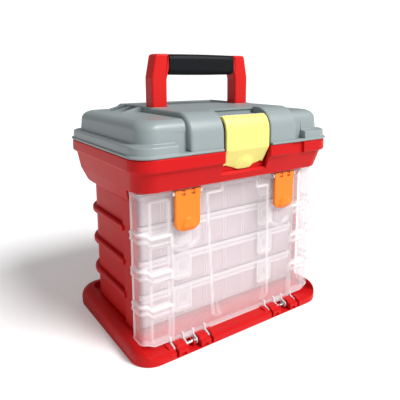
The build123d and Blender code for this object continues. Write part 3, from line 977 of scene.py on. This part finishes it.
def tray(k):
    """Tray k, counted from 0 at the bottom: box, dividers, lid and two clips."""
    z = TRAY_LEVEL + TRAY_PITCH * k
    low = z - 34.5
    n = k + 1

    def walls(bm):
        crease = bm.verts.layers.float.new("crease")
        # The third number of each shell point is its painted highlight.
        shell = ((-9, low + 1.6, 0.0), (-3.4, low + 1.6, 0.1), (-1.7, low + 3.2, 0.1), (-1.6, z - 1.6, 0.0),
                 (-1.6, z - 0.2, 0.6), (0, z - 0.2, 0.6), (0, z - 1.6, 0.3), (1.1, z - 1.9, 0.9),
                 (1.2, z - 5.2, 0.75), (0, z - 5.9, 0.5), (0, z - 6.6, 0.05), (0, low + 2.2, 0.05),
                 (-0.6, low + 0.6, 0.6), (-2.4, low, 0.3), (-9, low, 0.0))
        rows = loft(bm, [tray_ring(min(out, 0.5), out, height) for out, height, _ in shell])
        mark(rows, crease, [value for _, _, value in shell])
        rim = ((-1.6, -1.6, z - 0.8), (4.0, 0.4, z - 0.8), (4.7, 1.2, z - 0.4), (4.7, 1.2, z + 0.4),
               (4.0, 0.4, z + 0.8), (-1.6, -1.6, z + 0.8))
        # Painted highlight on the rim, brightest at its outer edge.
        collar(bm, [tray_ring(*values) for values in rim], crease, [0.5, 0.9, 1, 1, 0.9, 0.5])

    def corrugation(bm):
        crease = bm.verts.layers.float.new("crease")
        # The slot ribs carry a painted highlight, stronger at the front.
        for y, value in ((TRAY_FRONT + 0.1, 0.6), (TRAY_BACK - 2.2, 0.2)):
            for dx in (-1.5, 1.5):
                start = len(bm.verts)
                box(bm, dx - 0.5, dx + 0.5, y - 0.7, y + 0.7, low + 2, z - 3, 0.2)
                bm.verts.ensure_lookup_table()
                for vert in bm.verts[start:]:
                    vert[crease] = value

    def divider(bm):
        crease = bm.verts.layers.float.new("crease")
        rows = loft(bm, [[Vector((x, y, height)) for x, height in
                          ((-0.7, low + 1.6), (0.7, low + 1.6), (0.7, z - 1.2), (-0.7, z - 1.2))]
                         for y in (TRAY_FRONT + 1.6, TRAY_FRONT + 2.8, TRAY_BACK - 2.8, TRAY_BACK - 1.6)])
        # Painted highlight along the divider, strongest at its front end.
        mark(rows, crease, (1.0, 0.1, 0.02, 0.5))

    def lid(bm):
        crease = bm.verts.layers.float.new("crease")
        top = z + 3.3
        # The third number of each plate point is its painted highlight.
        plate = ((-8, top - 1.9, 0.0), (-2.0, top - 2.3, 0.2), (1.2, top - 2.4, 0.8), (1.6, top - 1.8, 1),
                 (1.6, top - 0.5, 1), (1.0, top, 0.9), (-1.6, top, 0.7), (-2.4, top - 1.0, 0.4),
                 (-8, top - 1.1, 0.0))
        rows = loft(bm, [tray_ring(out, out, height) for out, height, _ in plate])
        mark(rows, crease, [value for _, _, value in plate])

    box_parts = (helper("walls", walls),
                 row_of("slots", helper("slot", corrugation), 7, (-84.75, 0, 0), (28.25, 0, 0), TRAY))
    finish_piece(joined(f"tray{n}_box_moulding", *box_parts), TRAY, f"tray{n}_box")
    dividers = row_of(f"tray{n}_divider_set", helper("divider", divider), 3,
                      (-56.5, 0, 0), (56.5, 0, 0), TRAY)
    finish_piece(dividers, TRAY, f"tray{n}_dividers")
    finish_piece(helper(f"tray{n}_lid_moulding", lid), TRAY, f"tray{n}_lid")
    for side, name in ((-1, "left"), (1, "right")):
        clip(z, side * 62.0, f"tray{n}_clip_{name}")


def clip(z, c, node):
    """A tray's snap clip: a plate with rolled edges, a thumb rib and a hook behind."""
    half = 12
    columns = [-half + 2 * half * i / 16 for i in range(17)]
    rows = [i / 20 for i in range(21)]

    def place(x, v):
        low = z - 26 + 3.0 * (abs(x) / half) ** 4
        height = low + (z + 3.2 - low) * v
        lift = -0.5 * smoothstep((abs(x) - 10.6) / 1.4)
        lift += 0.9 * window(height, z - 24.5, z - 21, 2) * window(x, -8, 8, 2)
        lift -= 0.6 * window(height, z - 17, z - 4, 1.6) * window(x, -7, 7, 1.6)
        return Vector((c + x, TRAY_FRONT - 5.0, height)), Vector((0, -1, 0)), lift

    plate = sheet("clip_plate", columns, rows, place, 1.2, 0.8)

    def hooks(bm):
        crease = bm.verts.layers.float.new("crease")
        box(bm, c - 3.6, c + 3.6, TRAY_FRONT - 4.2, TRAY_FRONT - 3.2, z + 0.2, z + 1.6, 0.3)
        box(bm, c - 8, c + 8, TRAY_FRONT - 4.2, TRAY_FRONT - 1.2, z - 6.5, z - 5.0, 0.3)
        # Painted highlight on the hooks.
        for vert in bm.verts:
            vert[crease] = 0.4

    finish_piece(joined(node + "_moulding", plate, helper("clip_hooks", hooks), angle=50), MILKY, node)


# ---------------- latches

def main_latch():
    """The curved latch: from the band's top over its front edge, with a fold, a lip and a thumb dome."""
    radius = BAND_R + 1.2
    centre = Vector((-BAND_DEPTH + BAND_R, BAND_TOP - BAND_R))
    fold, nose = 216.5, 199.5
    path = []
    for k in range(11):
        t = math.radians(42 + (90 - 42) * k / 10)
        path.append(centre + Vector((-math.sin(t), math.cos(t))) * radius)
    front = path[-1].x
    path += rounded(((front, path[-1].y - 4, 0), (front, fold + 8, 0), (front, fold, 1.8),
                     (front + 9.6, nose, 0)), step=20)
    fine = [path[0]]
    for a, b in zip(path, path[1:]):
        steps = max(1, round((b - a).length / 1.3))
        fine += [a.lerp(b, i / steps) for i in range(1, steps + 1)]
    columns = [-30 + i for i in range(61)]

    def place(x, i):
        p = fine[i]
        ahead, behind = fine[min(i + 1, len(fine) - 1)], fine[max(i - 1, 0)]
        way = (ahead - behind).normalized()
        out = Vector((0, way.y, -way.x))
        lip = smoothstep((fold - p.y) / (fold - nose))
        reach = 5.6 * max(0.0, 1 - (x / 24) ** 2) + 1.8 * smoothstep((abs(x) - 25) / 5)
        down = Vector((0, 9.6, nose - fold)).normalized() * reach * lip
        away = math.hypot(x / 15.5, (p.y - nose + 1.0) / 13.0)
        lift = 2.6 * smoothstep((1 - away) * 2.2) * smoothstep((fold - p.y) / 3)
        lift -= 0.9 * smoothstep((abs(x) - 28.4) / 1.6)
        lift -= 0.7 * smoothstep((3 - i) / 3)
        return Vector((x, p.x, p.y)) + down, out, lift

    plate = sheet("latch_plate", columns, range(len(fine)), place, 2.2, angle=38)

    def back(bm):
        box(bm, -29, 29, -88.6, -83.4, 247.0, 250.6, 0.4)
        for x in (-15, 15):
            box(bm, x - 1, x + 1, -94.4, -91, 218, 236, 0.3)

    finish_piece(joined("latch", plate, helper("latch_back", back), angle=38), YELLOW, "main_latch")


CLASP_HALF = 15.5
CLASP_LOW = 134.6
CLASP_TOP = 179.4


def cover_clasp(side, name):
    """A clasp of the clear cover: a domed plate with a notched top, its barrel and a hook behind."""
    c = side * CLASP_X
    columns = [-CLASP_HALF + 2 * CLASP_HALF * i / 30 for i in range(31)]
    rows = [i / 36 for i in range(37)]

    def place(x, v):
        low = CLASP_LOW + 6.4 * (abs(x) / CLASP_HALF) ** 3.5
        z = low + (CLASP_TOP - low) * v
        lift = -1.0 * smoothstep((abs(x) - 13.9) / 1.6) ** 2 * smoothstep((172 - z) / 5)
        lift -= 0.8 * smoothstep((low + 1.8 - z) / 1.8)
        away = math.hypot(x / 10.5, (z - 136.5) / 15.5)
        lift += 2.3 * smoothstep((1 - away) * 2.6) * smoothstep((z - low - 1) / 4)
        return Vector((c + x, -83.2, z)), Vector((0, -1, 0)), lift

    plate = sheet("clasp_plate", columns, rows, place, 2.4, angle=38)

    def notches(bm):
        for dx in (-6, 6):
            box(bm, c + dx - 2.4, c + dx + 2.4, -90, -70, 173.4, 186)

    def back(bm):
        rod(bm, c - CLASP_HALF, c + CLASP_HALF, -80.4, 176.4, 2.2, 20, 0.4)
        hook = [Vector(p) for p in ((-80.9, 150), (-78.4, 149), (-78.4, 147), (-80.9, 144))]
        across(bm, hook, c - 10, c + 10)

    carve(plate, helper("notches", notches))
    finish_piece(joined("cover_clasp_" + name, plate, helper("clasp_back", back), angle=38), ORANGE,
                 "cover_latch_" + name)


# ---------------- handle

HANDLE_AXIS = (-1.0, 250.0)


def handle():
    """The two arms with their round hubs, and the grip between them."""
    for side, name in ((-1, "left"), (1, "right")):
        def arm(bm):
            points = ((50, 246, 0), (50, 244, 0), (53, 241, 0), (66.5, 241, 0), (69.5, 244, 0),
                      (69.5, 292, 6), (64.2, 318.6, 4), (47, 318.6, 1.2), (46.4, 303, 3), (50, 290, 8))
            line = [Vector((side * p.x, p.y)) for p in rounded(points, closed=True, step=20)]
            along_y(bm, line, -10, 8, 2.2, 4)

        def hub(bm):
            x0, x1 = sorted((side * 48.9, side * 70.6))
            rod(bm, x0, x1, *HANDLE_AXIS, 7.6, 32, 0.8)

        made = joined("handle_arm_moulding_" + name, helper("arm", arm), helper("hub", hub))
        finish_piece(made, RED_HANDLE, "handle_arm_" + name)

    def grip(bm):
        rings = []
        stations = [(-47.2, 0.86), (-46.6, 0.95), (-45.4, 1.0), (-44.0, 1.0), (-43.4, 0.965),
                    (-42.4, 0.965), (-41.8, 1.0)]
        stations += [(-41.8 + 83.6 * k / 12, 1.0 + 0.03 * math.sin(math.pi * k / 12)) for k in range(1, 12)]
        stations += [(-x, size) for x, size in reversed(stations[:7])]
        line = rounded(((-11, -12.2, 7), (9, -12.2, 7), (9, 11.4, 6), (-11, 11.4, 6)), closed=True, step=12)
        for x, size in stations:
            rings.append([Vector((x, -1 + (p.x + 1) * size, 307.2 + p.y * size)) for p in line])
        loft(bm, rings)

    finish_piece(helper("grip_sleeve", grip), BLACK, "handle_grip")


foot()
bin_body()
lid()
softened("cabinet_shell", 0.5)
cover()
for tray_number in range(4):
    tray(tray_number)
main_latch()
cover_clasp(-1, "left")
cover_clasp(1, "right")
handle()


# ---------------- floor, light, camera

def floor():
    """The plain pale floor, a little brighter where the camera sees it directly."""
    bpy.ops.mesh.primitive_plane_add(size=16.0, location=(0, 0, -0.0002))
    plane = bpy.context.object
    plane.name = "studio_floor"
    mat = bpy.data.materials.new("pale_floor")
    mat.use_nodes = True
    tree = mat.node_tree
    shader = tree.nodes["Principled BSDF"]
    socket(shader, "Base Color", (0.93, 0.93, 0.93, 1))
    socket(shader, "Roughness", 0.9)
    socket(shader, "Specular IOR Level", 0.1)
    path = tree.nodes.new("ShaderNodeLightPath")
    lift = tree.nodes.new("ShaderNodeMath")
    lift.operation = "MULTIPLY"
    lift.inputs[1].default_value = 0.2
    tree.links.new(path.outputs["Is Camera Ray"], lift.inputs[0])
    tree.links.new(lift.outputs[0], shader.inputs["Emission Strength"])
    socket(shader, "Emission Color", (1, 1, 1, 1))
    plane.data.materials.append(mat)


def sun(name, direction, power, spread):
    """A sun lamp that shines along direction, with its spread in degrees."""
    data = bpy.data.lights.new(name, "SUN")
    data.energy = power
    data.angle = math.radians(spread)
    lamp = bpy.data.objects.new(name, data)
    lamp.rotation_euler = Vector(direction).to_track_quat("-Z", "Y").to_euler()
    scene.collection.objects.link(lamp)


def studio():
    """A white surround, dim as a light and bright as a background, and one soft sun."""
    world = bpy.data.worlds.new("studio")
    world.use_nodes = True
    tree = world.node_tree
    back = tree.nodes["Background"]
    socket(back, "Color", (1, 1, 1, 1))
    path = tree.nodes.new("ShaderNodeLightPath")
    shown = tree.nodes.new("ShaderNodeMath")
    shown.operation = "MULTIPLY_ADD"
    shown.inputs[1].default_value = 0.8
    shown.inputs[2].default_value = 0.26
    tree.links.new(path.outputs["Is Camera Ray"], shown.inputs[0])
    tree.links.new(shown.outputs[0], back.inputs["Strength"])
    scene.world = world
    sun("key_front_right", (-0.36, 0.74, -0.80), 3.6, 26)


def camera():
    """The camera, at the eye point and angle that the object is shown from."""
    pan, tilt, roll = -34.42, 79.777, -0.135
    data = bpy.data.cameras.new("camera")
    data.sensor_width = 36.0
    data.lens = 39.185
    data.shift_y = -0.12
    eye = bpy.data.objects.new("camera", data)
    turn = Matrix.Rotation(math.radians(pan), 4, "Z") @ Matrix.Rotation(math.radians(tilt), 4, "X")
    turn = turn @ Matrix.Rotation(math.radians(roll), 4, "Z")
    eye.matrix_world = Matrix.Translation((-0.30501, -0.44813, 0.29649)) @ turn
    scene.collection.objects.link(eye)
    scene.camera = eye


floor()
studio()
camera()
